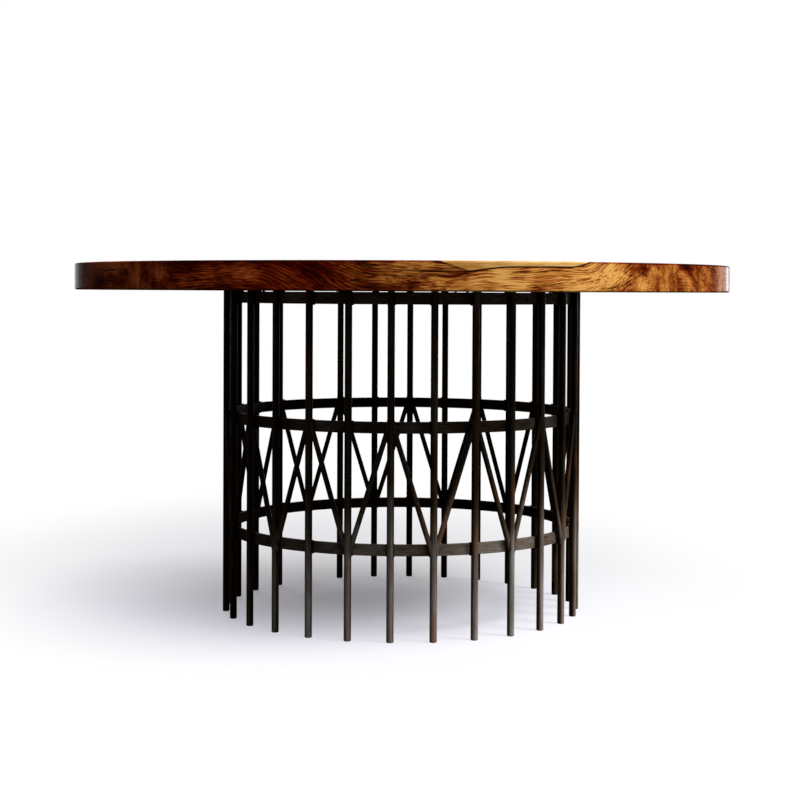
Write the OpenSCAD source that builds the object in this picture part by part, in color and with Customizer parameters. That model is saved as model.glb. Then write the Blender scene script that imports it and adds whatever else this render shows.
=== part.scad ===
// Round coffee table: a glued-up solid wood top on an open drum of round steel bars.
// The bars are welded to the outside of three flat bar hoops, and thinner bars zigzag
// from bar to bar between the two lower hoops.
// Millimetres, +Z up, origin on the floor under the middle of the top.

/* [Tabletop] */
// Diameter of the round top
top_d = 915; // [780:5:1100]
// Thickness of the top
top_t = 36; // [34:1:60]
// Radius to which both edges of the top are eased
top_ease = 2; // [1:0.5:5]
// Boards glued edge to edge to make the top
board_count = 6; // [2:1:8]

/* [Upright bars] */
// Bars in each half of the drum, so that the drum has twice as many
half_count = 14; // [10:1:16]
// Diameter of an upright bar
bar_d = 9.5; // [8:0.5:14]
// Length of an upright bar, which is the height of the base
bar_h = 450; // [380:5:720]
// Ground chamfer round both ends of a bar
bar_chamfer = 0.8; // [0.3:0.1:1.5]
// Diameter over the outside of the bars
drum_d = 506; // [460:2:640]
// Turn of the drum under the boards of the top
drum_turn = -3.4; // [-6:0.2:6]

/* [Hoops] */
// Height of the flat bar that the hoops are rolled from
hoop_h = 15; // [12:1:25]
// Thickness of that flat bar
hoop_t = 5; // [3:0.5:8]
// Broken corners of the flat bar
hoop_ease = 0.5; // [0.2:0.1:1]
// How far the bars stand up past the top hoop, which leaves a light gap under the top
bar_stand = 2; // [1:0.5:5]
// Height of the middle hoop's lower edge above the floor
middle_z = 267.5; // [220:0.5:330]
// Height of the lower hoop's lower edge above the floor
lower_z = 110; // [60:1:150]

/* [Braces] */
// Diameter of a zigzag brace
brace_d = 7; // [5:0.5:9]
// How far above the middle hoop the braces' middle lines meet their bar
brace_over = 3; // [0:0.5:10]
// How far below the lower hoop the braces' middle lines meet their bar
brace_under = 2; // [0:0.5:10]

/* [Fixing of the top] */
// Tabs round the inside of the top hoop
tab_count = 8; // [4:2:12]
// Width of a tab
tab_w = 24; // [18:1:32]
// Length of a tab from the hoop to its round end
tab_len = 30; // [24:1:40]
// Thickness of a tab
tab_t = 4; // [3:0.5:6]
// Length of the slot that lets the wood move
slot_len = 10; // [7:0.5:12]
// Diameter of a screw's shank
screw_d = 4.5; // [3.5:0.1:5]
// Length of a screw under its head
screw_len = 30; // [20:1:35]
// Diameter of a screw's pan head
head_d = 9; // [7:0.5:10]
// Height of a screw's pan head
head_h = 3; // [2:0.25:4]
// Diameter of a washer
washer_d = 14; // [11:0.5:16]
// Thickness of a washer
washer_t = 1.2; // [0.8:0.1:2]

/* [Hidden] */
// Gap that the weld fills between a bar or a brace and what it is welded to
weld_gap = 0.2;
// Room round a screw's shank in the slot and in the washer
shank_room = 0.5;
// Room round a screw's shank in its pilot hole
pilot_room = 0.1;
// Room past a screw's tip in its pilot hole
pilot_end = 1;
// Easing round a screw's head, and the length of its point
head_ease = 1.8;
point_len = 2 * screw_d;
// Width across the flats of the hexagon drive, and its depth
drive_w = 3;
drive_h = 1.8;
// Angle of the first tab from the boards' long direction, which keeps screws off glue lines
tab_turn = 180 / tab_count;
// Overrun of a cutting solid past what it cuts
cut = 1;
$fn = 72;

bar_count = 2 * half_count;
bar_step = 360 / bar_count;
bar_circle_r = drum_d / 2 - bar_d / 2;
hoop_outer_r = bar_circle_r - bar_d / 2 - weld_gap;
hoop_inner_r = hoop_outer_r - hoop_t;
top_hoop_z = bar_h - bar_stand - hoop_h;
brace_top_z = middle_z + hoop_h + brace_over;
brace_foot_z = lower_z - brace_under;
board_w = top_d / board_count;
tab_z = bar_h - bar_stand - tab_t;
tab_outer_r = hoop_inner_r - weld_gap;
tab_inner_r = tab_outer_r - tab_len;
screw_r = tab_inner_r + tab_w / 2;
slot_w = screw_d + 2 * shank_room;
screw_seat_z = tab_z - washer_t;
screw_tip_z = screw_seat_z + screw_len;

function two_digits(i) = i < 10 ? str("0", i) : str(i);
function board_name(i) = str("board_", i);
function bar_name(i) = str("bar_", two_digits(i));
function brace_name(i) = str("brace_pair_", two_digits(i));
function bar_angle(i) = drum_turn + (i - 1) * bar_step;
// A point on the bars' circle, with angles counted from the front towards the right
function on_circle(a, z) = [bar_circle_r * sin(a), -bar_circle_r * cos(a), z];

wood = "saddlebrown";
steel = [0.16, 0.14, 0.12];
zinc = "silver";

// Points round a corner eased to the radius r about x, z, a right angle on from the angle a
function eased(x, z, r, a) = [for (t = [0:45:90]) [x + r * cos(a + t), z + r * sin(a + t)]];

// Half section of the whole top, with each edge eased in two facets
module top_section() {
    flat_r = top_d / 2 - top_ease;
    polygon(concat(
        [[0, 0]],
        eased(flat_r, top_ease, top_ease, -90),
        eased(flat_r, top_t - top_ease, top_ease, 0),
        [[0, top_t]]
    ));
}

// The whole round top, before it is parted into boards
module round_top() {
    translate([0, 0, bar_h]) rotate_extrude($fn = 180) top_section();
}

// Copies its children at each tab, facing out from the middle
module at_tabs() {
    for (i = [0:tab_count - 1]) rotate(tab_turn + i * 360 / tab_count) children();
}

// One board of the top, counted from the front, with the pilot holes that fall in it
module board(i) {
    front = -top_d / 2 + (i - 1) * board_w;
    color(wood) difference() {
        intersection() {
            round_top();
            translate([-top_d / 2 - cut, front, bar_h - cut])
                cube([top_d + 2 * cut, board_w, top_t + 2 * cut]);
        }
        at_tabs() translate([screw_r, 0, bar_h - cut])
            cylinder(d = screw_d + 2 * pilot_room, h = screw_tip_z + pilot_end - bar_h + cut);
    }
}

// A hoop rolled from flat bar, standing on edge, with broken corners
module hoop(z) {
    color(steel) translate([0, 0, z]) rotate_extrude($fn = 180) polygon([
        [hoop_inner_r + hoop_ease, 0], [hoop_outer_r - hoop_ease, 0],
        [hoop_outer_r, hoop_ease], [hoop_outer_r, hoop_h - hoop_ease],
        [hoop_outer_r - hoop_ease, hoop_h], [hoop_inner_r + hoop_ease, hoop_h],
        [hoop_inner_r, hoop_h - hoop_ease], [hoop_inner_r, hoop_ease]
    ]);
}

// An upright bar with a ground chamfer round each end
module bar(i) {
    r = bar_d / 2;
    color(steel) translate(on_circle(bar_angle(i), 0)) rotate_extrude() polygon([
        [0, 0], [r - bar_chamfer, 0], [r, bar_chamfer],
        [r, bar_h - bar_chamfer], [r - bar_chamfer, bar_h], [0, bar_h]
    ]);
}

// The space that an upright takes, with the weld gap round it
module bar_room(i) {
    translate(on_circle(bar_angle(i), -cut))
        cylinder(d = bar_d + 2 * weld_gap, h = bar_h + 2 * cut);
}

// A brace from the top of one bay to the foot of the next, coped round both uprights
module brace(top_bar, foot_bar) {
    top_end = on_circle(bar_angle(top_bar), brace_top_z);
    foot_end = on_circle(bar_angle(foot_bar), brace_foot_z);
    run = top_end - foot_end;
    color(steel) difference() {
        translate(foot_end)
            rotate([0, acos(run.z / norm(run)), atan2(run.y, run.x)])
            cylinder(d = brace_d, h = norm(run));
        bar_room(top_bar);
        bar_room(foot_bar);
    }
}

// Two braces that lean together at the middle hoop, on every other upright
module brace_pair(i) {
    apex = 2 * i - 1;
    brace(apex, apex - 1);
    brace(apex, apex + 1);
}

// A tab with a round end and a slot, coped to the inside of the top hoop
module fixing_tab() {
    color(steel) translate([0, 0, tab_z]) difference() {
        intersection() {
            union() {
                translate([screw_r, 0, 0]) cylinder(d = tab_w, h = tab_t);
                translate([screw_r, -tab_w / 2, 0]) cube([tab_len, tab_w, tab_t]);
            }
            cylinder(r = tab_outer_r, h = tab_t, $fn = 180);
        }
        translate([screw_r, 0, -cut]) slot(tab_t + 2 * cut);
    }
}

// A slot across the tab, as deep as h
module slot(h) {
    side = (slot_len - slot_w) / 2;
    for (s = [-1, 1]) translate([0, s * side, 0]) cylinder(d = slot_w, h = h);
    translate([-slot_w / 2, -side, 0]) cube([slot_w, 2 * side, h]);
}

// A flat washer under a tab
module washer() {
    color(zinc) translate([screw_r, 0, tab_z - washer_t]) difference() {
        cylinder(d = washer_d, h = washer_t);
        translate([0, 0, -cut]) cylinder(d = slot_w, h = washer_t + 2 * cut);
    }
}

// A pan head wood screw, driven up through its washer and tab into the top
module top_screw() {
    shank_r = screw_d / 2;
    crown_r = head_d / 2 - head_ease;
    color(zinc) translate([screw_r, 0, screw_seat_z]) difference() {
        rotate_extrude() polygon(concat(
            [[0, -head_h]],
            eased(crown_r, head_ease - head_h, head_ease, -90),
            [[head_d / 2, 0], [shank_r, 0], [shank_r, screw_len - point_len], [0, screw_len]]
        ));
        translate([0, 0, -head_h - cut])
            cylinder(d = drive_w / cos(30), h = drive_h + cut, $fn = 6);
    }
}

for (i = [1:board_count]) board(i);
hoop(top_hoop_z);  // top_hoop
hoop(middle_z);  // middle_hoop
hoop(lower_z);  // lower_hoop
for (i = [1:bar_count]) bar(i);
for (i = [1:half_count]) brace_pair(i);
at_tabs() fixing_tab();  // fixing_tabs
at_tabs() washer();  // screw_washers
at_tabs() top_screw();  // top_screws
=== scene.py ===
# %% [markdown]
# # A round table on a drum of steel bars
#
# This lesson dresses a finished construction model. The model holds every board, bar, hoop and
# brace at its real size, so nothing is moved or resized here. The lesson adds the camera, the
# light, the weld beads that hold the steel together, and the finishes of the wood and the steel.

# %% Load the construction
import math

import bmesh
import bpy
from mathutils import Matrix, Vector


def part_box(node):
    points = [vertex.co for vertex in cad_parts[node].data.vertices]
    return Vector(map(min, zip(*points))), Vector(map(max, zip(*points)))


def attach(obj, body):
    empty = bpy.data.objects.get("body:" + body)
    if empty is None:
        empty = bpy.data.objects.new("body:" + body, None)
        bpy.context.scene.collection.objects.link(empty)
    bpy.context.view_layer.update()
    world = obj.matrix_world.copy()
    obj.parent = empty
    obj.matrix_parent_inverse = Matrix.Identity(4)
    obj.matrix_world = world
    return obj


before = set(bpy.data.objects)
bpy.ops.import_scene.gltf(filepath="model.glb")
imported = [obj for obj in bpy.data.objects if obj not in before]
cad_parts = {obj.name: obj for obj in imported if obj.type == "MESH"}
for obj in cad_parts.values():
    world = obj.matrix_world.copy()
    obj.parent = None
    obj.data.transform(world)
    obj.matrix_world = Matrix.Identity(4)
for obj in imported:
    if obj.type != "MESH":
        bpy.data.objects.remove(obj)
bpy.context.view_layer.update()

# %% [markdown]
# ## Measure before making
#
# New pieces have to sit exactly on what carries them, so their places are read from the model.
# A node's box gives the middle and the radius of an upright bar, and the height and the radius
# of a hoop. The pieces of one kind share a name and differ by a number, so they are gathered by
# the start of the name.

# %% Measure the bars and the hoops
MM = 0.001


def named(start):
    """The names of the nodes that begin with the word, in order."""
    return sorted(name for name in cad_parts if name.startswith(start))


def middle_of(node):
    """The middle of a node's box."""
    low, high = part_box(node)
    return (low + high) / 2


def width_of(node):
    """The width of a node's box along X."""
    low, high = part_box(node)
    return high.x - low.x


BARS = named("bar_")
BRACES = named("brace_pair_")
HOOPS = ["top_hoop", "middle_hoop", "lower_hoop"]

bar_radius = width_of(BARS[0]) / 2
hoop_radius = width_of("top_hoop") / 2
bar_circle = Vector(middle_of(BARS[0]).xy).length
top_low, top_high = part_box("board_1")
print(f"{len(BARS)} bars of {2000 * bar_radius:.1f} mm stand on a circle of {2000 * bar_circle:.1f} mm")
print(f"The hoops are {2000 * hoop_radius:.1f} mm across")
print(f"The top starts {1000 * top_low.z:.0f} mm above the floor")

# %% [markdown]
# ## The camera
#
# The picture was taken from a little below the upper face of the top, with a long lens, so both
# faces of the top are seen edge on and the hoops are thin ellipses. The camera looks almost level,
# and its sensor is shifted down so that the table sits where it does in the picture without
# tilting the view. A slight roll makes the top lean as it does there.

# %% Set up the camera
camera_data = bpy.data.cameras.new("camera")
camera_data.sensor_width = 36
camera_data.lens = 74.85
camera_data.shift_y = -0.0946
camera_data.clip_end = 100
camera = bpy.data.objects.new("camera", camera_data)
camera.location = (-0.0129, -2.3685, 0.4532)
look_down = math.radians(1.226)
turn_right = math.radians(0.25)
roll = math.radians(0.277)
camera.rotation_mode = "QUATERNION"
facing = Matrix.Rotation(-turn_right, 4, "Z") @ Matrix.Rotation(math.pi / 2 - look_down, 4, "X")
camera.rotation_quaternion = (facing @ Matrix.Rotation(roll, 4, "Z")).to_quaternion()
bpy.context.scene.collection.objects.link(camera)
bpy.context.scene.camera = camera
print(f"The camera stands {-camera.location.y:.2f} m in front of the table's axis")

# %% [markdown]
# ## Building finishes from nodes
#
# A finish is a small network of nodes. A few helpers keep the networks readable: one adds a node
# and plugs values or other nodes into it, one does arithmetic, and one maps a range onto another
# with a soft start and end. The rest add noise, stretch coordinates, mix two colours, spread a
# colour ramp and start a new finish. Every pattern reads Object coordinates. The pieces sit at the
# origin unturned, so these are plain metres, and the pattern runs through the piece as real grain
# does.

# %% Helpers for finishes


def add_node(tree, kind, inputs=None, **settings):
    """A new node, with its settings, and each input joined to a socket or set to a value."""
    made = tree.nodes.new(kind)
    for name, value in settings.items():
        setattr(made, name, value)
    for name, value in (inputs or {}).items():
        if isinstance(value, bpy.types.NodeSocket):
            tree.links.new(value, made.inputs[name])
        else:
            made.inputs[name].default_value = value
    return made


def maths(tree, operation, first, second=0.0, third=0.0):
    """The result of one step of arithmetic on numbers or sockets."""
    inputs = {0: first, 1: second, 2: third}
    return add_node(tree, "ShaderNodeMath", inputs, operation=operation).outputs[0]


def soft_step(tree, value, low, high, start=0.0, end=1.0):
    """start below low, end above high, and an even curve between."""
    inputs = {"Value": value, "From Min": low, "From Max": high, "To Min": start, "To Max": end}
    ramp = add_node(tree, "ShaderNodeMapRange", inputs, interpolation_type="SMOOTHSTEP")
    return ramp.outputs["Result"]


def noise(tree, place, scale, detail=3.0, roughness=0.5):
    """Noise at a place, with about scale lumps to one unit of its coordinates."""
    inputs = {"Vector": place, "Scale": scale, "Detail": detail, "Roughness": roughness}
    return add_node(tree, "ShaderNodeTexNoise", inputs)


def stretched(tree, place, scale, shift=(0, 0, 0)):
    """Object coordinates scaled along each axis, so that a pattern is drawn out."""
    inputs = {"Vector": place, "Scale": scale, "Location": shift}
    return add_node(tree, "ShaderNodeMapping", inputs).outputs["Vector"]


def mixed(tree, factor, first, second, blend="MIX"):
    """The first colour, blended with the second by the factor."""
    made = add_node(tree, "ShaderNodeMix", data_type="RGBA", blend_type=blend)
    for socket, value in (("Factor_Float", factor), ("A_Color", first), ("B_Color", second)):
        target = next(i for i in made.inputs if i.identifier == socket)
        if isinstance(value, bpy.types.NodeSocket):
            tree.links.new(value, target)
        else:
            target.default_value = value
    return next(o for o in made.outputs if o.identifier == "Result_Color")


def ramp_of(tree, factor, stops):
    """A colour ramp through (position, colour) stops."""
    made = add_node(tree, "ShaderNodeValToRGB", {"Fac": factor})
    elements = made.color_ramp.elements
    while len(elements) < len(stops):
        elements.new(1.0)
    for element, (position, colour) in zip(elements, stops):
        element.position = position
        element.color = colour
    return made.outputs["Color"]


def new_finish(name, **shader_values):
    """A material with an empty network, its shader, and the Object coordinates."""
    finish = bpy.data.materials.new(name)
    finish.use_nodes = True
    tree = finish.node_tree
    tree.nodes.clear()
    output = tree.nodes.new("ShaderNodeOutputMaterial")
    shader = add_node(tree, "ShaderNodeBsdfPrincipled", shader_values)
    tree.links.new(shader.outputs["BSDF"], output.inputs["Surface"])
    place = tree.nodes.new("ShaderNodeTexCoord").outputs["Object"]
    return finish, tree, shader, place


def shade(red, green, blue):
    """An opaque colour from its linear parts."""
    return (red, green, blue, 1.0)


print("The helpers for finishes are ready")

# %% [markdown]
# ## Floor, background and light
#
# The table stands on a seamless white floor. Close to the table the floor is a real matt surface that
# takes its shadow, with a little plain white mixed in even there: a painted light that lifts the shadow
# for the camera. Further out it turns into plain white for the camera, so that it meets the white
# background with no horizon. The shadow falls to the back and the left, so the matt part is an oval
# that lies a little to that side. To all rays but the camera's the floor is dark, so that it throws
# hardly any light back at the table. Seen from below it is clear, which lets the underside of the table
# be looked at.

# %% Lay the floor
FLOOR_HALF = 8.0

floor_bm = bmesh.new()
bmesh.ops.create_grid(floor_bm, x_segments=1, y_segments=1, size=FLOOR_HALF)
floor_mesh = bpy.data.meshes.new("floor")
floor_bm.to_mesh(floor_mesh)
floor_bm.free()
floor = bpy.data.objects.new("floor", floor_mesh)
bpy.context.scene.collection.objects.link(floor)
print("The floor is", 2 * FLOOR_HALF, "m wide")

# %% [markdown]
# Behind the table the plain part is painted a soft grey, a painted shade that draws the table's shadow
# out further back, and round its feet it takes a painted cool tint, the colour of the shade there. Each
# of these two tones lies in an oval of its own. An oval is a circle in coordinates that are shrunk by
# its reach along X and Y.

# %% Colour the floor
WHITE = shade(1.0, 1.0, 1.0)
PAPER = shade(0.925, 0.92, 0.935)
# Painted shade: a cool tint round the table's feet and a soft grey behind it, both in the plain white
# that the camera sees.
COOL_SHADE_TINT = shade(0.95, 0.94, 1.04)
BACK_PAINTED_SHADE = shade(0.775, 0.767, 0.795)
DARK_BOUNCE = shade(0.04, 0.04, 0.04)
SHADOW_MIDDLE = Vector((-0.09, 0.07))
SHADOW_REACH = Vector((0.57, 0.58))
SHADOW_LIFT = 0.22
COOL_FROM = 0.40
GREY_MIDDLE = Vector((-0.14, 0.38))
GREY_REACH = Vector((0.74, 1.10))
GREY_FULL = 0.2
GREY_DEPTH = (-0.15, 0.35)

floor_finish = bpy.data.materials.new("white_floor")
floor_finish.use_nodes = True
tree = floor_finish.node_tree
tree.nodes.clear()
place = tree.nodes.new("ShaderNodeTexCoord").outputs["Object"]


def oval_distance(middle, reach):
    """Distance from the middle of an oval, counted so that its edge is at one."""
    shift = (-middle.x / reach.x, -middle.y / reach.y, 0)
    oval = stretched(tree, place, (1 / reach.x, 1 / reach.y, 1), shift)
    return add_node(tree, "ShaderNodeVectorMath", {0: oval}, operation="LENGTH").outputs["Value"]


looked_at = tree.nodes.new("ShaderNodeLightPath").outputs["Is Camera Ray"]
away = oval_distance(SHADOW_MIDDLE, SHADOW_REACH)
# Painted light: even at the middle of the oval the camera sees a share of plain white, which lightens
# the shadow.
plain_share = soft_step(tree, away, 0.0, 1.0, SHADOW_LIFT, 1.0)
plain_share = maths(tree, "MULTIPLY", plain_share, looked_at)
paper = mixed(tree, looked_at, DARK_BOUNCE, PAPER)
matt = add_node(tree, "ShaderNodeBsdfDiffuse", {"Color": paper})

# Painted shade: the plain white turns cool near the table and grey behind it, where the shadow falls.
cool_shade_near = mixed(tree, soft_step(tree, away, COOL_FROM, 1.0), COOL_SHADE_TINT, WHITE)
depth = add_node(tree, "ShaderNodeSeparateXYZ", {0: place}).outputs["Y"]
painted_shade_share = soft_step(tree, oval_distance(GREY_MIDDLE, GREY_REACH), 1.0, GREY_FULL)
painted_shade_share = maths(tree, "MULTIPLY", painted_shade_share, soft_step(tree, depth, *GREY_DEPTH))
pale = mixed(tree, painted_shade_share, cool_shade_near, BACK_PAINTED_SHADE)
plain = add_node(tree, "ShaderNodeEmission", {"Color": pale, "Strength": 1.0})

lit = add_node(tree, "ShaderNodeMixShader", {0: plain_share, 1: matt.outputs[0], 2: plain.outputs[0]})
clear = tree.nodes.new("ShaderNodeBsdfTransparent")
underneath = tree.nodes.new("ShaderNodeNewGeometry").outputs["Backfacing"]
both = add_node(tree, "ShaderNodeMixShader", {0: underneath, 1: lit.outputs[0], 2: clear.outputs[0]})
add_node(tree, "ShaderNodeOutputMaterial", {"Surface": both.outputs[0]})
floor.data.materials.append(floor_finish)
print(f"The shadow's oval reaches {SHADOW_REACH.x:.2f} m sideways and {SHADOW_REACH.y:.2f} m in depth")

# %% [markdown]
# The background is white to the camera, and also in reflections and through glass. Other rays
# meet a dim sky, which is the fill light.

# %% Hang the background
FILL = 0.015
SKY = shade(0.97, 0.98, 1.0)

world = bpy.data.worlds.new("studio")
bpy.context.scene.world = world
world.use_nodes = True
tree = world.node_tree
tree.nodes.clear()
rays = tree.nodes.new("ShaderNodeLightPath").outputs
seen = maths(tree, "MAXIMUM", rays["Is Camera Ray"], rays["Is Glossy Ray"])
seen = maths(tree, "MAXIMUM", seen, rays["Is Transmission Ray"])
sky = add_node(tree, "ShaderNodeBackground", {"Color": SKY, "Strength": FILL})
backdrop = add_node(tree, "ShaderNodeBackground", {"Color": WHITE, "Strength": 1.0})
either = add_node(tree, "ShaderNodeMixShader", {0: seen, 1: sky.outputs[0], 2: backdrop.outputs[0]})
add_node(tree, "ShaderNodeOutputWorld", {"Surface": either.outputs[0]})
print("The fill is", FILL, "of white")

# %% [markdown]
# Six soft boxes do the rest. The key light, high on the right, gives the light its direction: the
# top shades the upper part of the bars, and the shadows fall to the back left. A second box, high
# at the front, lights the rim and the feet. A weak one, lower on the right, reaches in under the
# top, and a weak one behind on the left draws the far edges. The last two are low and wide and
# stand behind on each side, level with the top. They only graze the ends of the rim, which gives
# both ends the pale fade that the picture shows.

# %% Place the soft boxes
DRUM_LOW = (0, 0, 0.2)
DRUM_HIGH = (0, 0, 0.3)
RIM_RIGHT = (0.44, -0.09, 0.47)
RIM_LEFT = (-0.44, -0.09, 0.47)


def soft_box(name, place, target, width, height, watts, colour=(1, 1, 1)):
    """A rectangular lamp that faces the target."""
    lamp_data = bpy.data.lights.new(name, "AREA")
    lamp_data.shape = "RECTANGLE"
    lamp_data.size = width
    lamp_data.size_y = height
    lamp_data.energy = watts
    lamp_data.color = colour
    lamp = bpy.data.objects.new(name, lamp_data)
    lamp.location = place
    lamp.rotation_euler = (Vector(target) - Vector(place)).to_track_quat("-Z", "Y").to_euler()
    bpy.context.scene.collection.objects.link(lamp)
    print(name, "gives", watts, "W")


soft_box("key_light", (2.76, -1.18, 4.12), DRUM_LOW, 1.7, 1.7, 252, (1.0, 0.985, 0.96))
soft_box("front_light", (1.10, -2.60, 4.35), DRUM_LOW, 1.8, 1.8, 96)
soft_box("low_light", (2.98, -0.97, 1.95), DRUM_LOW, 1.5, 1.5, 12)
soft_box("back_light", (-0.7, 2.2, 2.1), DRUM_HIGH, 1.2, 1.2, 16)
soft_box("right_edge_light", (1.82, 2.00, 0.48), RIM_RIGHT, 1.05, 0.35, 11)
soft_box("left_edge_light", (-1.41, 2.00, 0.48), RIM_LEFT, 0.8, 0.35, 1, (1.0, 0.90, 0.88))

# %% [markdown]
# ## The wood
#
# The top is glued up from boards of a dark tropical wood. Across its rim the picture shows dark
# red-brown on the left that turns to golden amber on the right, fine dark lines that sweep along
# the grain, small pores, a few short cracks, and a streak of pale sapwood under the upper edge,
# with a dark line along its border. Wood like this is a solid pattern: rings round a pith that
# runs along the board, bent by slow noise. Where the round rim cuts the board, the same pattern
# shows long lines at the front and end grain at the sides, with no seam and no stretched picture.

# %% Choose the colours of the wood
HEARTWOOD = [
    (0.00, shade(0.008, 0.0006, 0.0003)),
    (0.20, shade(0.042, 0.0028, 0.0006)),
    (0.36, shade(0.110, 0.009, 0.0012)),
    (0.50, shade(0.210, 0.024, 0.0030)),
    (0.62, shade(0.350, 0.078, 0.0105)),
    (0.76, shade(0.560, 0.188, 0.0340)),
    (0.90, shade(0.800, 0.340, 0.0700)),
    (1.00, shade(0.930, 0.490, 0.1250)),
]
SAPWOOD = shade(0.88, 0.53, 0.185)
SAP_GOLD = shade(0.58, 0.25, 0.050)
VEIN = shade(0.020, 0.006, 0.002)
# A painted shade: this multiplies the left of the rim darker and redder.
LEFT_SHADE_TINT = shade(1.12, 0.55, 0.55)
print("The heartwood runs through", len(HEARTWOOD), "colours, from dark to light")

# %% [markdown]
# The pattern starts with two things. Growth rings come from a wave texture, whose rings lie round
# an axis along the board. Its coordinates are drawn out along X, because a tree is long. Everything
# finer is noise, also drawn out along the grain, from broad patches down to pores. A slow noise
# bends the coordinates of both, which makes the grain wander.

# %% Draw rings and grain
WAVE_LENGTH = 2 * math.pi / 20
LOG_LENGTH = (0.16, 1.0, 1.0)
SWIRL_SIZE = (3.2, 9.0, 9.0)
HALF = (0.5, 0.5, 0.5)


def ring_wave(tree, place, pith, spacing, bend):
    """Growth rings round a pith along X: 0 just after each ring and 1 at its dark late wood."""
    log = stretched(tree, place, LOG_LENGTH, (pith[0], -pith[1], -pith[2]))
    inputs = {
        "Vector": log,
        "Scale": WAVE_LENGTH / spacing,
        "Distortion": bend,
        "Detail": 4.0,
        "Detail Scale": 0.35,
        "Detail Roughness": 0.62,
    }
    wave = add_node(tree, "ShaderNodeTexWave", inputs, wave_type="RINGS", rings_direction="X",
                    wave_profile="SAW")
    return wave.outputs["Fac"]


def vector_maths(tree, operation, first, second):
    inputs = {0: first, 1: second}
    return add_node(tree, "ShaderNodeVectorMath", inputs, operation=operation).outputs["Vector"]


def length_of(tree, vector):
    made = add_node(tree, "ShaderNodeVectorMath", {0: vector}, operation="LENGTH")
    return made.outputs["Value"]


def pushed(tree, place, wild, amount):
    """Moves points either way by a noise, by at most half the amount along each axis."""
    middle = vector_maths(tree, "SUBTRACT", wild.outputs["Color"], HALF)
    return vector_maths(tree, "ADD", place, vector_maths(tree, "MULTIPLY", middle, amount))


def bent_place(tree, place, amount, seed):
    """Moves the pattern by a slow noise, which makes waves and swirls in the grain."""
    slow = noise(tree, stretched(tree, place, SWIRL_SIZE, (seed, 0, 0)), 1.0, 2.0)
    return pushed(tree, place, slow, (0, amount, amount))


def drawn_noise(tree, place, scale, seed, detail=3.0):
    """Noise drawn out along the grain, from 0 to 1."""
    return noise(tree, stretched(tree, place, scale, (seed, seed, 0)), 1.0, detail).outputs["Fac"]


print("The rings and the grain are ready")

# %% [markdown]
# On the real rim the lines run on round the curve, as if the grain followed it. So the front
# board's grain is led along the rim, and straightens towards the board's back edge. In a few
# places the grain also dips or rises, as it does near a branch. Past a dip the pattern is read
# from a little higher up, past a rise from lower down, and both fade away from the rim.

# %% Lead the grain along the rim
TOP_RADIUS = -top_low.y
BOARD_BACK = top_low.y + TOP_RADIUS / 3
LEAST_WIDTH = 0.06


def along_rim(tree, place):
    """Runs the front board's pattern along the round rim, and straightens it towards the back."""
    x, y, z = add_node(tree, "ShaderNodeSeparateXYZ", {0: place}).outputs
    square = maths(tree, "SUBTRACT", TOP_RADIUS ** 2, maths(tree, "MULTIPLY", x, x))
    depth = maths(tree, "SQRT", maths(tree, "MAXIMUM", square, 0.0))
    bow = maths(tree, "SUBTRACT", TOP_RADIUS, depth)
    whole = maths(tree, "MAXIMUM", maths(tree, "ADD", depth, BOARD_BACK), LEAST_WIDTH)
    share = maths(tree, "DIVIDE", maths(tree, "SUBTRACT", BOARD_BACK, y), whole)
    level = maths(tree, "SUBTRACT", y, maths(tree, "MULTIPLY", bow, share))
    return add_node(tree, "ShaderNodeCombineXYZ", {0: x, 1: level, 2: z}).outputs[0]


def rim_distance(tree, place):
    """How far a point lies inside the round rim."""
    from_middle = length_of(tree, stretched(tree, place, (1, 1, 0)))
    return maths(tree, "SUBTRACT", TOP_RADIUS, from_middle)


def dipped(tree, place, dips, near_rim):
    """Reads the pattern higher up past each (start, end, height) along X, so the grain dips."""
    along = add_node(tree, "ShaderNodeSeparateXYZ", {0: place}).outputs["X"]
    for start, end, height in dips:
        rise = maths(tree, "MULTIPLY", soft_step(tree, along, start, end, 0.0, height), near_rim)
        lift = add_node(tree, "ShaderNodeCombineXYZ", {2: rise}).outputs[0]
        place = vector_maths(tree, "ADD", place, lift)
    return place


print(f"The rim lies {TOP_RADIUS:.4f} m from the table's axis")

# %% [markdown]
# Noise alone would put light and dark wood anywhere, so each board is also given a few facts: how light
# it is along its length and, on the two front boards, which were tuned against the picture, where its
# figure glows or darkens and where it is cracked. A glow is a soft oval on the rim, and a crack is a
# long thin one. Both read coordinates that a fine noise has shaken, so that their outlines are ragged.

# %% Place light, glows and cracks
GRAIN_START = -0.46
GRAIN_END = 0.46
CRACK_HALF = 0.0009
CRACK_DARK = 0.9
SHAKE_SIZE = (60, 60, 120)


def tone_along(tree, place, tones):
    """How light the wood is along X, through (metres, tone) pairs in order."""
    along = add_node(tree, "ShaderNodeSeparateXYZ", {0: place}).outputs["X"]
    length = GRAIN_END - GRAIN_START
    share = maths(tree, "MULTIPLY_ADD", along, 1 / length, -GRAIN_START / length)
    return ramp_of(tree, share, [((x - GRAIN_START) / length, shade(t, t, t)) for x, t in tones])


def ragged(tree, place, amount, seed):
    """Moves points a little either way, so that what is drawn from them has an uneven outline."""
    wild = noise(tree, stretched(tree, place, SHAKE_SIZE, (seed, 0, 0)), 1.0, 3.0)
    return pushed(tree, place, wild, (amount, 0, amount))


def glow_at(tree, place, x, z, wide, high):
    """1 at a light or dark patch of the rim's figure, fading to 0 at its reach along X and Z."""
    share = stretched(tree, place, (1 / wide, 0, 1 / high), (-x / wide, 0, -z / high))
    return soft_step(tree, length_of(tree, share), 1.0, 0.0)


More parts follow.
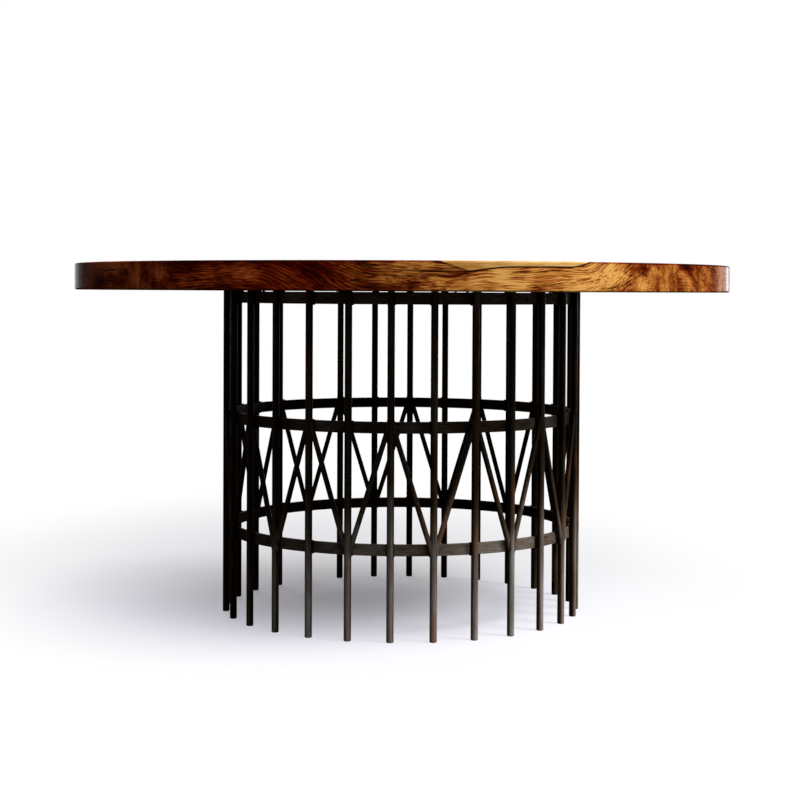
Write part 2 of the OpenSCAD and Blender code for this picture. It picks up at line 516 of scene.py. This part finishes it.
def crack_at(tree, place, x, z, turn, length):
    """Dark on a thin line through (x, z) on the rim, turned from the grain by degrees."""
    middle = Vector((x, 0, z))
    lengthwise = Vector((math.cos(math.radians(turn)), 0, math.sin(math.radians(turn))))
    crosswise = Vector((-lengthwise.z, 0, lengthwise.x))
    squares = []
    for direction, reach in ((lengthwise, length / 2), (crosswise, CRACK_HALF)):
        dot = add_node(tree, "ShaderNodeVectorMath", {0: place, 1: direction / reach},
                       operation="DOT_PRODUCT").outputs["Value"]
        share = maths(tree, "SUBTRACT", dot, middle.dot(direction) / reach)
        squares.append(maths(tree, "POWER", share, 2.0))
    return soft_step(tree, maths(tree, "ADD", *squares), 1.0, 0.3, 0.0, CRACK_DARK)


print("A crack is", 2 * CRACK_HALF, "m wide")

# %% [markdown]
# The sapwood is the young pale wood under the bark. On the front board it lies under the upper
# edge, right of the middle. Its lower border sags at the left, runs out at the right, and follows
# the wander of the grain. Its left border leans. A dark line marks the border, narrower on the
# upper face than on the rim.

# %% Inlay the sapwood
SAP_DEPTH = 0.0078
SAP_SAG = 0.0062
SAG_START = (-0.10, 0.05)
SAG_END = (0.125, 0.055)
SAP_RUN_OUT = (0.195, 0.250)
RUN_OUT_RISE = 0.0125
SAP_SLOPE = -0.25
SAP_LEFT = 0.031
LEFT_LEAN = 3.4
LEFT_SLOPE = 1.8
FACE_EDGE = (0.0010, 0.0002)
SOFT_BORDER = 0.0004
BORDER_WIDTH = (0.0010, 0.0002)
SAP_LIGHT = (0.04, 0.20)


def with_sapwood(tree, place, bent, from_rim, colour, fibres):
    """The colour, with the sapwood and its dark borders laid into it."""
    x, y, z = add_node(tree, "ShaderNodeSeparateXYZ", {0: place}).outputs
    bent_z = add_node(tree, "ShaderNodeSeparateXYZ", {0: bent}).outputs["Z"]
    wavy = maths(tree, "SUBTRACT", bent_z, z)
    below = maths(tree, "SUBTRACT", top_high.z, z)
    on_face = soft_step(tree, below, *FACE_EDGE)

    sag = maths(tree, "MULTIPLY", soft_step(tree, x, *SAG_START), soft_step(tree, x, *SAG_END))
    depth = maths(tree, "MULTIPLY_ADD", sag, SAP_SAG, SAP_DEPTH)
    depth = maths(tree, "SUBTRACT", depth, soft_step(tree, x, *SAP_RUN_OUT, 0.0, RUN_OUT_RISE))
    depth = maths(tree, "MULTIPLY_ADD", from_rim, SAP_SLOPE, depth)
    swing = soft_step(tree, on_face, 0.0, 1.0, 0.12, 0.22)
    above = maths(tree, "SUBTRACT", maths(tree, "MULTIPLY_ADD", wavy, swing, depth), below)

    left_limit = maths(tree, "MULTIPLY_ADD", below, LEFT_LEAN, SAP_LEFT)
    left_limit = maths(tree, "MULTIPLY_ADD", from_rim, LEFT_SLOPE, left_limit)
    past_left = maths(tree, "SUBTRACT", maths(tree, "MULTIPLY_ADD", wavy, 0.9, x), left_limit)
    inside = maths(tree, "MULTIPLY", soft_step(tree, above, -SOFT_BORDER, SOFT_BORDER),
                   soft_step(tree, past_left, -0.002, 0.002))
    light = maths(tree, "MULTIPLY_ADD", fibres, 2.6, soft_step(tree, x, *SAP_LIGHT, -1.20, -0.45))
    colour = mixed(tree, inside, colour, mixed(tree, light, SAP_GOLD, SAPWOOD))

    width = soft_step(tree, on_face, 0.0, 1.0, *BORDER_WIDTH)
    line = soft_step(tree, maths(tree, "DIVIDE", maths(tree, "ABSOLUTE", above), width), 1.3, 0.6)
    line = maths(tree, "MULTIPLY", line, soft_step(tree, x, -0.03, 0.03))
    line = maths(tree, "MULTIPLY", line, soft_step(tree, on_face, 0.0, 1.0, 1.0, 0.5))
    side_line = maths(tree, "MULTIPLY", soft_step(tree, past_left, -0.014, -0.001),
                      soft_step(tree, past_left, 0.003, 0.0))
    in_sap = soft_step(tree, above, -SOFT_BORDER, SOFT_BORDER, 0.0, 0.65)
    side_line = maths(tree, "MULTIPLY", side_line, in_sap)
    return mixed(tree, maths(tree, "MAXIMUM", line, side_line), colour, VEIN)


print(f"The sapwood reaches about {SAP_DEPTH + SAP_SAG:.3f} m down at its deepest")

# %% [markdown]
# One function now makes the wood of a board. It adds the grain up into a single tone, from dark to
# light, and a colour ramp turns the tone into a colour, so that all the layers agree. The tone is lower
# on the arris and on the upper face, and its broad patches are calmer away from the rim. The left of
# the rim, which the lamps leave in shade, is painted darker and redder: a painted shade. Dark veins and
# cracks go on top, because they are minerals and gaps in the wood and not a shade of it. The front
# board takes its sapwood last.

# %% Build the wood of one board
WOOD_GLOSS = 0.0007
RIM_REACH = (0.080, 0.010)
PATCHES = (17, 32, 32)
STREAKS = (9, 200, 200)
FIBRES = (34, 600, 600)
PORES = (40, 1100, 1100)
BEND = 0.05
ARRIS_DARK = 0.30
ARRIS_DEPTH = (0.0026, 0.0014)
ARRIS_WIDTH = (0.0035, 0.0015)
FACE_DARK = 0.14
FACE_DEPTH = (0.0012, 0.0004)
FACE_FADE = (0.002, 0.030)
VEIN_DARK = 0.85


def darker_edge(tree, z, from_rim, depth, width, dark):
    """How much darker the wood is between two depths under the upper face, near the rim."""
    high = soft_step(tree, z, top_high.z - depth[0], top_high.z - depth[1])
    return maths(tree, "MULTIPLY", high, soft_step(tree, from_rim, *width, 0.0, dark))


def wood_finish(name, seed, pith, spacing, tones, left_shade_span=(-0.5, -0.6), glows=(), cracks=(), dips=(),
                front=False):
    """The wood of one board, with tones that say how light it is along its length."""
    finish, tree, shader, place = new_finish(name, **{"Specular IOR Level": WOOD_GLOSS})
    from_rim = rim_distance(tree, place)
    near_rim = soft_step(tree, from_rim, *RIM_REACH)
    swirled = bent_place(tree, along_rim(tree, place) if front else place, BEND, seed)
    bent = dipped(tree, swirled, dips, near_rim)
    patches = drawn_noise(tree, bent, PATCHES, seed + 2, 3.0)
    streaks = drawn_noise(tree, bent, STREAKS, seed + 3, 4.0)
    fibres = drawn_noise(tree, bent, FIBRES, seed + 4, 4.0)
    pores = drawn_noise(tree, bent, PORES, seed + 6, 2.0)
    rings = ring_wave(tree, bent, (seed, *pith), spacing, 6.0)

    clouds = soft_step(tree, patches, 0.34, 0.66, -0.5, 0.5)
    clouds = maths(tree, "MULTIPLY", clouds, maths(tree, "MULTIPLY_ADD", near_rim, 0.5, 0.5))
    tone = tone_along(tree, bent, tones)
    # Each layer is a pattern, its strength, and its mean effect, which is taken off again
    layers = (
        (clouds, 0.30, 0.0),
        (streaks, 0.40, 0.20),
        (fibres, 0.62, 0.31),
        (maths(tree, "POWER", rings, 4.0), -0.20, -0.04),
        (soft_step(tree, pores, 0.50, 0.60), -0.34, -0.11),
    )
    for pattern, share, balance in layers:
        tone = maths(tree, "MULTIPLY_ADD", pattern, share, maths(tree, "SUBTRACT", tone, balance))
    uneven = ragged(tree, place, 0.012, seed + 9)
    for x, z, wide, high, strength in glows:
        glow = maths(tree, "MULTIPLY", glow_at(tree, uneven, x, z, wide, high), near_rim)
        tone = maths(tree, "MULTIPLY_ADD", glow, strength, tone)
    x, y, z = add_node(tree, "ShaderNodeSeparateXYZ", {0: place}).outputs
    arris = darker_edge(tree, z, from_rim, ARRIS_DEPTH, ARRIS_WIDTH, ARRIS_DARK)
    face = darker_edge(tree, z, from_rim, FACE_DEPTH, FACE_FADE, FACE_DARK)
    tone = maths(tree, "SUBTRACT", tone, maths(tree, "ADD", arris, face))
    colour = ramp_of(tree, tone, HEARTWOOD)
    # Painted shade: the left of the rim is darkened and reddened, where the lamps leave it in shade.
    at_left = soft_step(tree, x, *left_shade_span)
    redder = maths(tree, "MULTIPLY", at_left, soft_step(tree, from_rim, 0.012, 0.001))
    colour = mixed(tree, redder, colour, mixed(tree, 1.0, colour, LEFT_SHADE_TINT, "MULTIPLY"))

    veins = ring_wave(tree, bent, (seed + 7, pith[0] - 0.02, pith[1]), spacing * 3.0, 9.0)
    in_dark_wood = soft_step(tree, patches, 0.66, 0.46)
    vein_here = maths(tree, "MULTIPLY", maths(tree, "POWER", veins, 5.0), in_dark_wood)
    vein_here = maths(tree, "MULTIPLY", vein_here, soft_step(tree, tone, 0.85, 0.55, 0.15, 1.0))
    vein_here = maths(tree, "MULTIPLY", vein_here, VEIN_DARK)
    shaky = ragged(tree, place, 0.004, seed + 9)
    for x, z, turn, length in cracks:
        vein_here = maths(tree, "MAXIMUM", vein_here, crack_at(tree, shaky, x, z, turn, length))
    colour = mixed(tree, vein_here, colour, VEIN)
    if front:
        colour = with_sapwood(tree, place, swirled, from_rim, colour, fibres)
    tree.links.new(colour, shader.inputs["Base Color"])

    sheen = soft_step(tree, pores, 0.5, 0.75, 0.12, 0.20)
    tree.links.new(sheen, shader.inputs["Roughness"])
    bump = add_node(tree, "ShaderNodeBump", {"Height": pores, "Strength": 0.04, "Distance": -0.0002})
    tree.links.new(bump.outputs["Normal"], shader.inputs["Normal"])
    print("Made", name, "with", len(tree.nodes), "nodes")
    return finish


# %% [markdown]
# Each board has its own seed, its own pith at some Y and Z, and its own spacing of the rings, so that
# no two look cut from one plank. Tones are (metres along X, tone). A glow is (x, z, reach along X,
# reach in Z, strength), a crack (x, z, turn in degrees, length) and a dip (start, end, height). One
# more pair says from where to where along X the left of the rim is painted darker and redder, as
# painted shade.

# %% Dress the boards
board_facts = {
    "board_1": {"seed": 1.0, "pith": (-0.43, 0.36), "spacing": 0.0034, "left_shade_span": (-0.03, -0.12),
                "front": True,
                "tones": [(-0.34, 0.63), (-0.28, 0.53), (-0.22, 0.43), (-0.12, 0.32), (-0.07, 0.37),
                          (-0.03, 0.52), (0.00, 0.61), (0.04, 0.72), (0.09, 0.77), (0.20, 0.83),
                          (0.25, 0.84), (0.29, 0.70), (0.32, 0.56)],
                "glows": [(-0.333, 0.467, 0.014, 0.026, 0.34), (-0.294, 0.470, 0.018, 0.012, 0.24),
                          (-0.265, 0.463, 0.014, 0.014, 0.22), (-0.236, 0.474, 0.016, 0.012, 0.18),
                          (-0.212, 0.475, 0.012, 0.012, 0.18), (-0.184, 0.473, 0.030, 0.016, 0.28),
                          (-0.018, 0.467, 0.034, 0.014, 0.28), (0.024, 0.455, 0.010, 0.008, 0.14),
                          (0.011, 0.457, 0.012, 0.008, -0.14), (0.101, 0.457, 0.014, 0.009, -0.16),
                          (0.112, 0.467, 0.011, 0.014, 0.13), (0.127, 0.466, 0.010, 0.007, -0.12),
                          (0.143, 0.464, 0.012, 0.015, 0.16), (0.160, 0.459, 0.020, 0.010, -0.08),
                          (0.260, 0.466, 0.018, 0.014, 0.12), (0.271, 0.482, 0.034, 0.012, -0.26),
                          (0.292, 0.476, 0.014, 0.013, -0.34), (0.288, 0.457, 0.014, 0.013, 0.18),
                          (0.328, 0.468, 0.010, 0.024, 0.12), (0.312, 0.466, 0.012, 0.012, -0.14)],
                "cracks": [(-0.095, 0.478, -25, 0.034), (-0.121, 0.459, -20, 0.040),
                           (-0.060, 0.463, 12, 0.030), (-0.045, 0.480, -18, 0.036),
                           (0.249, 0.4555, 12, 0.024), (0.266, 0.460, 28, 0.022),
                           (0.284, 0.4705, 38, 0.022)],
                "dips": [(-0.18, -0.03, 0.050), (-0.03, 0.03, 0.004), (0.045, 0.10, -0.007),
                         (0.21, 0.30, -0.045)]},
    "board_2": {"seed": 4.3, "pith": (-0.22, 0.33), "spacing": 0.0038, "left_shade_span": (-0.05, -0.20),
                "tones": [(-0.42, 0.62), (-0.36, 0.68), (-0.30, 0.50), (-0.10, 0.42), (0.20, 0.60),
                          (0.33, 0.58), (0.41, 0.55), (0.44, 0.42)],
                "glows": [(-0.365, 0.481, 0.060, 0.012, 0.30), (-0.375, 0.460, 0.050, 0.014, -0.16),
                          (0.350, 0.482, 0.022, 0.010, -0.36), (0.363, 0.477, 0.014, 0.009, -0.26),
                          (0.395, 0.466, 0.016, 0.012, 0.14)],
                "cracks": [(-0.350, 0.471, 25, 0.024), (-0.372, 0.4755, 2, 0.056)],
                "dips": [(0.33, 0.40, 0.045)]},
    "board_3": {"seed": 7.9, "pith": (-0.07, 0.38), "spacing": 0.0036,
                "tones": [(-0.44, 0.62), (-0.10, 0.66), (0.15, 0.44), (0.44, 0.40)]},
    "board_4": {"seed": 11.2, "pith": (0.08, 0.31), "spacing": 0.0042,
                "tones": [(-0.44, 0.42), (0.00, 0.52), (0.25, 0.70), (0.44, 0.62)]},
    "board_5": {"seed": 15.7, "pith": (0.24, 0.36), "spacing": 0.0036,
                "tones": [(-0.44, 0.66), (-0.10, 0.46), (0.20, 0.42), (0.42, 0.60)]},
    "board_6": {"seed": 19.4, "pith": (0.37, 0.34), "spacing": 0.0040,
                "tones": [(-0.34, 0.42), (0.00, 0.62), (0.20, 0.74), (0.34, 0.50)]},
}
for board, facts in board_facts.items():
    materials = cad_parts[board].data.materials
    materials.clear()
    materials.append(wood_finish(board + "_wood", **facts))
print("The wood covers", len(board_facts), "boards")

# %% [markdown]
# ## The steel
#
# The bars are hot rolled steel that was blackened and waxed. The finish is uneven in a way that makes
# it look old, with copper coloured patches on the side that faces out, where the black has rubbed thin,
# most of all at the feet. Shade is painted into it as well: it is painted nearly black under the top,
# inside the drum, on the flanks of the bars and at the far left, where shade falls, and painted browner
# and greyer towards the floor on the side that faces out, where the light reaches. All of it is noise
# at three sizes, made lighter or darker by a point's height, by how far left it lies and by its
# distance from the table's axis. A hoop's fine marks run round it, a bar's run up and down, and the
# hoops are a little browner than the bars.

# %% Make the steel
STEEL_BLACK = shade(0.024, 0.014, 0.009)
STEEL_BRONZE = shade(0.128, 0.083, 0.046)
STEEL_GREY = shade(0.430, 0.398, 0.380)
STEEL_COPPER = shade(0.300, 0.105, 0.040)
STEEL_GLOSS = 0.012
CLOUD_SIZE = (16, 16, 9)
PATCH_SIZE = (30, 30, 12)
# Painted shade: the steel is painted darker high up under the top and lighter towards the floor, darker
# towards the far left, and darker on the inner side and the flanks of each bar and hoop.
SHADED_FROM = 0.22
SHADE_ENDS = 0.05
BLACK_LEFT = (-0.24, -0.15)
LEFT_DARK = -0.35
INNER_DARK = 0.45
FOOT_FROM = 0.06
FOOT_COPPER = 0.09
COPPER_EDGE = (0.56, 0.70)
# Painted shade: distances from the table's axis inside which the inner side and flanks of each piece
# are painted dark.
BAR_SHADE_RADII = (0.2480, 0.2526)
BRACE_SHADE_RADII = (0.2453, 0.2508)
HOOP_SHADE_RADII = (0.2390, 0.2430)
BAR_LIFT = (-0.26, 0.04)
HOOP_LIFT = (-0.12, 0.02)
HOOP_TINT = shade(0.86, 0.80, 0.72)


def steel_finish(name, marks, seed, warmth=1.0, roughness=0.42, tint=WHITE, shade_radii=BRACE_SHADE_RADII,
                 lift=BAR_LIFT):
    """Blackened steel with fine marks, as many to the metre along each axis as marks says.

    The pair of distances from the table's axis gives where the painted shade on the inner side and the
    flanks ends and the steel takes its full colour. lift says how much it is lightened high up and near
    the floor; high up this is negative, a painted shade under the top, and near the floor a little
    painted light.
    """
    values = {"Metallic": 0.0, "Roughness": roughness, "Specular IOR Level": STEEL_GLOSS}
    finish, tree, shader, place = new_finish(name, **values)
    x, y, height = add_node(tree, "ShaderNodeSeparateXYZ", {0: place}).outputs
    clouds = noise(tree, stretched(tree, place, CLOUD_SIZE, (seed, 0, 0)), 1.0, 4.0).outputs["Fac"]
    fine = noise(tree, stretched(tree, place, marks, (0, seed, 0)), 1.0, 3.0).outputs["Fac"]
    wear_and_shade = maths(tree, "MULTIPLY_ADD", fine, 0.5, maths(tree, "MULTIPLY", clouds, 0.8))
    # Painted shade: darker high up under the top, and painted light: a little lighter near the floor.
    wear_and_shade = maths(tree, "ADD", wear_and_shade, soft_step(tree, height, SHADED_FROM, SHADE_ENDS, *lift))
    # Painted shade: darker towards the far left, where the light from the right does not reach.
    wear_and_shade = maths(tree, "ADD", wear_and_shade, soft_step(tree, x, *BLACK_LEFT, LEFT_DARK, 0.0))
    # Painted shade: darker on the inner side and the flanks, full colour only on the face that looks
    # out.
    across = maths(tree, "MULTIPLY_ADD", y, y, maths(tree, "MULTIPLY", x, x))
    outside = soft_step(tree, maths(tree, "SQRT", across), *shade_radii)
    wear_and_shade = maths(tree, "ADD", wear_and_shade, maths(tree, "MULTIPLY_ADD", outside, INNER_DARK, -INNER_DARK))
    colour = ramp_of(tree, wear_and_shade, [(0.15, STEEL_BLACK), (0.45, STEEL_BRONZE), (0.80, STEEL_GREY)])

    patches = noise(tree, stretched(tree, place, PATCH_SIZE, (0, 0, seed)), 1.0, 3.0).outputs["Fac"]
    at_feet = soft_step(tree, height, FOOT_FROM, 0.0, 0.0, FOOT_COPPER)
    patches = maths(tree, "ADD", patches, at_feet)
    copper = maths(tree, "MULTIPLY", soft_step(tree, patches, *COPPER_EDGE), 0.55 * warmth)
    copper = maths(tree, "MULTIPLY", copper, outside)
    colour = mixed(tree, copper, colour, STEEL_COPPER)
    tree.links.new(mixed(tree, 1.0, colour, tint, "MULTIPLY"), shader.inputs["Base Color"])

    dull = maths(tree, "MULTIPLY_ADD", fine, 0.2, roughness - 0.1)
    tree.links.new(dull, shader.inputs["Roughness"])
    bump = add_node(tree, "ShaderNodeBump", {"Height": fine, "Strength": 0.12, "Distance": 0.0002})
    tree.links.new(bump.outputs["Normal"], shader.inputs["Normal"])
    print("Made", name)
    return finish


bar_steel = steel_finish("bar_steel", (420, 420, 14), 2.0, shade_radii=BAR_SHADE_RADII)
brace_steel = steel_finish("brace_steel", (320, 320, 40), 5.0, warmth=1.3)
hoop_steel = steel_finish("hoop_steel", (60, 60, 450), 9.0, warmth=0.5, tint=HOOP_TINT,
                          shade_radii=HOOP_SHADE_RADII, lift=HOOP_LIFT)
tab_steel = steel_finish("tab_steel", (260, 260, 260), 13.0, warmth=0.4)
weld_steel = steel_finish("weld_steel", (500, 500, 500), 17.0, warmth=0.3, roughness=0.5)

# %% [markdown]
# Every node of the steel takes the finish of its kind. The beads, which are made further on, take
# the finish of the welds.

# %% Dress the steel


def dress(names, finish):
    """Gives the finish to the construction nodes with these names."""
    for name in names:
        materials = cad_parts[name].data.materials
        materials.clear()
        materials.append(finish)


dress(BARS, bar_steel)
dress(BRACES, brace_steel)
dress(HOOPS, hoop_steel)
dress(["fixing_tabs"], tab_steel)
print("The steel covers", len(BARS) + len(BRACES) + len(HOOPS) + 1, "nodes")

# %% [markdown]
# The screws and washers under the top are zinc plated. Zinc is a pale bluish metal, and the plate
# breaks up the light in small dull patches.

# %% Make the zinc
ZINC_PALE = shade(0.62, 0.63, 0.65)
ZINC_DULL = shade(0.40, 0.41, 0.44)
SPANGLES = 900.0

zinc, tree, shader, place = new_finish("zinc_plate", **{"Metallic": 1.0, "Roughness": 0.32})
spangle = noise(tree, place, SPANGLES, 2.0).outputs["Fac"]
tree.links.new(mixed(tree, spangle, ZINC_DULL, ZINC_PALE), shader.inputs["Base Color"])
tree.links.new(soft_step(tree, spangle, 0.3, 0.7, 0.24, 0.42), shader.inputs["Roughness"])
dress(["screw_washers", "top_screws"], zinc)
print("The zinc covers the screws and washers")

# %% [markdown]
# ## Weld beads
#
# Nothing but weld holds the drum together, so every crossing needs its bead. A bead is a row of
# small overlapping drops. One bead is modelled once, by pushing out the end of a short prism again
# and again and swelling every second ring. It is then copied into each corner with a matrix that
# turns and stretches it. A bead has only a few dozen faces, because there are hundreds of them.

# %% Model one bead
BEAD_SIDES = 6
BEAD_STEPS = 6
SWELL = 1.0
PINCH = 0.8
TIP = 0.5


def unit_bead():
    """A bead one unit long along Z, centred, and about one unit in radius."""
    bm = bmesh.new()
    end = bmesh.ops.create_circle(bm, cap_ends=True, segments=BEAD_SIDES, radius=TIP)["verts"]
    bmesh.ops.translate(bm, verts=end, vec=(0, 0, -0.5))
    face = bm.faces[:][0]
    size = TIP
    for step in range(1, BEAD_STEPS + 1):
        grown = bmesh.ops.extrude_face_region(bm, geom=[face])["geom"]
        ring = [part for part in grown if isinstance(part, bmesh.types.BMVert)]
        old_face, face = face, next(part for part in grown if isinstance(part, bmesh.types.BMFace))
        if step > 1:
            bmesh.ops.delete(bm, geom=[old_face], context="FACES_ONLY")
        bmesh.ops.translate(bm, verts=ring, vec=(0, 0, 1 / BEAD_STEPS))
        next_size = TIP if step == BEAD_STEPS else (PINCH if step % 2 == 0 else SWELL)
        middle = Matrix.Translation((0, 0, 0.5 - step / BEAD_STEPS))
        bmesh.ops.scale(bm, verts=ring, vec=(next_size / size, next_size / size, 1), space=middle)
        size = next_size
    bmesh.ops.recalc_face_normals(bm, faces=bm.faces[:])
    mesh = bpy.data.meshes.new("unit_bead")
    bm.to_mesh(mesh)
    bm.free()
    return mesh


bead = unit_bead()
print("One bead has", len(bead.polygons), "faces")

# %% [markdown]
# Four beads go to each crossing of a bar and a hoop: one down each side of the bar, in the corner
# between the round steel and the flat face, and one across the bar on each edge of the hoop. The
# last two show as small fillets at the corners of every opening in the drum.

# %% Weld the bars to the hoops
SIDE_BEAD = 1.3 * MM
EDGE_BEAD = 1.2 * MM
SIDE_OUT = 0.9 * MM
SIDE_OFFSET = 3.9 * MM
EDGE_IN = 0.4 * MM
EDGE_RISE = 0.3 * MM
EDGE_LENGTH = 11 * MM
UP = Vector((0, 0, 1))


def add_bead(bm, centre, along, length, radius):
    """Copies the bead to its place, stretched to its length and radius."""
    turn = along.to_track_quat("Z", "X").to_matrix().to_4x4()
    size = Matrix.Diagonal((radius, radius, length, 1))
    count = len(bm.verts)
    bm.from_mesh(bead)
    bm.verts.ensure_lookup_table()
    added = bm.verts[count:]
    bmesh.ops.transform(bm, matrix=Matrix.Translation(centre) @ turn @ size, verts=added)


def weld_piece(bm, name):
    """Makes a finished piece of the beads, which belongs to the steel base."""
    mesh = bpy.data.meshes.new(name)
    bm.to_mesh(mesh)
    bm.free()
    mesh.shade_smooth()
    mesh.materials.append(weld_steel)
    piece = bpy.data.objects.new(name, mesh)
    bpy.context.scene.collection.objects.link(piece)
    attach(piece, "root")
    print(name, "has", len(mesh.polygons), "faces")


def outward_of(node):
    """The level direction from the middle of the table to a bar."""
    middle = middle_of(node)
    return Vector((middle.x, middle.y, 0)).normalized()


def weld_hoop(hoop):
    """Welds every bar to one hoop."""
    low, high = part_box(hoop)
    bm = bmesh.new()
    for bar in BARS:
        out = outward_of(bar)
        side = UP.cross(out)
        for hand in (-1, 1):
            corner = out * (hoop_radius + SIDE_OUT) + side * hand * SIDE_OFFSET
            centre = corner + UP * (low.z + high.z) / 2
            add_bead(bm, centre, UP, high.z - low.z, SIDE_BEAD)
        for edge in (low.z - EDGE_RISE, high.z + EDGE_RISE):
            centre = out * (hoop_radius - EDGE_IN) + UP * edge
            add_bead(bm, centre, side, EDGE_LENGTH, EDGE_BEAD)
    weld_piece(bm, hoop + "_welds")


for hoop in HOOPS:
    weld_hoop(hoop)

# %% [markdown]
# A brace is coped, so its end wraps the bar, and the weld follows that saddle shaped seam. The
# bead starts as a ring spun round the brace. Each of its points is then slid along the brace until
# the ring lies on the bar. How far to slide is the length at which a line along the brace
# meets the bar's surface.

# %% Weld the braces to the bars
BRACE_RADIUS = 3.5 * MM
BRACE_OVER = 3 * MM
BRACE_UNDER = 2 * MM
SEAM_BEAD = 1.1 * MM
SEAM_OUT = 0.3 * MM
SEAM_STEPS = 16
SEAM_SIDES = 6


def add_seam(bm, meeting, along):
    """A ring bead round a brace that leaves the bar's middle line at meeting and runs along."""
    level = Vector((along.x, along.y, 0))
    slope = level.length
    level.normalize()
    across = along.cross(level).normalized()
    ring_radius = BRACE_RADIUS + SEAM_OUT
    ring = bmesh.ops.create_circle(bm, segments=SEAM_SIDES, radius=SEAM_BEAD)["verts"]
    edges = list({edge for vert in ring for edge in vert.link_edges})
    stand = Matrix.Translation((ring_radius, 0, 0)) @ Matrix.Rotation(math.pi / 2, 4, "X")
    bmesh.ops.transform(bm, matrix=stand, verts=ring)
    count = len(bm.verts) - len(ring)
    bmesh.ops.spin(bm, geom=ring + edges, cent=(0, 0, 0), axis=(0, 0, 1), dvec=(0, 0, 0),
                   angle=2 * math.pi, steps=SEAM_STEPS, use_merge=True)
    bm.verts.ensure_lookup_table()
    turn = Matrix((across, along.cross(across), along)).transposed().to_4x4()
    for vert in bm.verts[count:]:
        beside = turn @ vert.co
        sideways = beside.dot(across) * ring_radius / max(vert.co.xy.length, ring_radius)
        onward = beside.dot(level) - beside.dot(along) * slope
        reach = math.sqrt(max(bar_radius**2 - sideways**2, 0)) - onward
        vert.co = meeting + beside + along * reach / slope


def weld_braces():
    """Welds both ends of every brace to their bars."""
    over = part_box("middle_hoop")[1].z + BRACE_OVER
    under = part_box("lower_hoop")[0].z - BRACE_UNDER
    heads, feet = bmesh.new(), bmesh.new()
    for number in range(0, len(BARS), 2):
        head = outward_of(BARS[number]) * bar_circle + UP * over
        for hand in (-1, 1):
            foot = outward_of(BARS[(number + hand) % len(BARS)]) * bar_circle + UP * under
            along = (foot - head).normalized()
            add_seam(heads, head, along)
            add_seam(feet, foot, -along)
    for bm, name in ((heads, "brace_head_welds"), (feet, "brace_foot_welds")):
        bmesh.ops.recalc_face_normals(bm, faces=bm.faces[:])
        weld_piece(bm, name)


weld_braces()

# %% [markdown]
# Under the top, eight slotted tabs carry the screws. Each tab is welded to the inside of the top
# hoop with one straight bead along its lower edge.

# %% Weld the tabs to the top hoop
TAB_COUNT = 8
TAB_BEAD = 1.5 * MM
TAB_BEAD_LENGTH = 22 * MM
HOOP_THICK = 5 * MM

tab_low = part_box("fixing_tabs")[0]
bm = bmesh.new()
for number in range(TAB_COUNT):
    angle = 2 * math.pi * (number + 0.5) / TAB_COUNT
    out = Vector((math.cos(angle), math.sin(angle), 0))
    centre = out * (hoop_radius - HOOP_THICK - TAB_BEAD / 2) + UP * (tab_low.z - TAB_BEAD / 3)
    add_bead(bm, centre, UP.cross(out), TAB_BEAD_LENGTH, TAB_BEAD)
weld_piece(bm, "tab_welds")

# %% [markdown]
# ## Finish
#
# The view settings stay plain, so that colours come out as written.

# %% Keep the view plain
bpy.context.scene.view_settings.view_transform = "Standard"
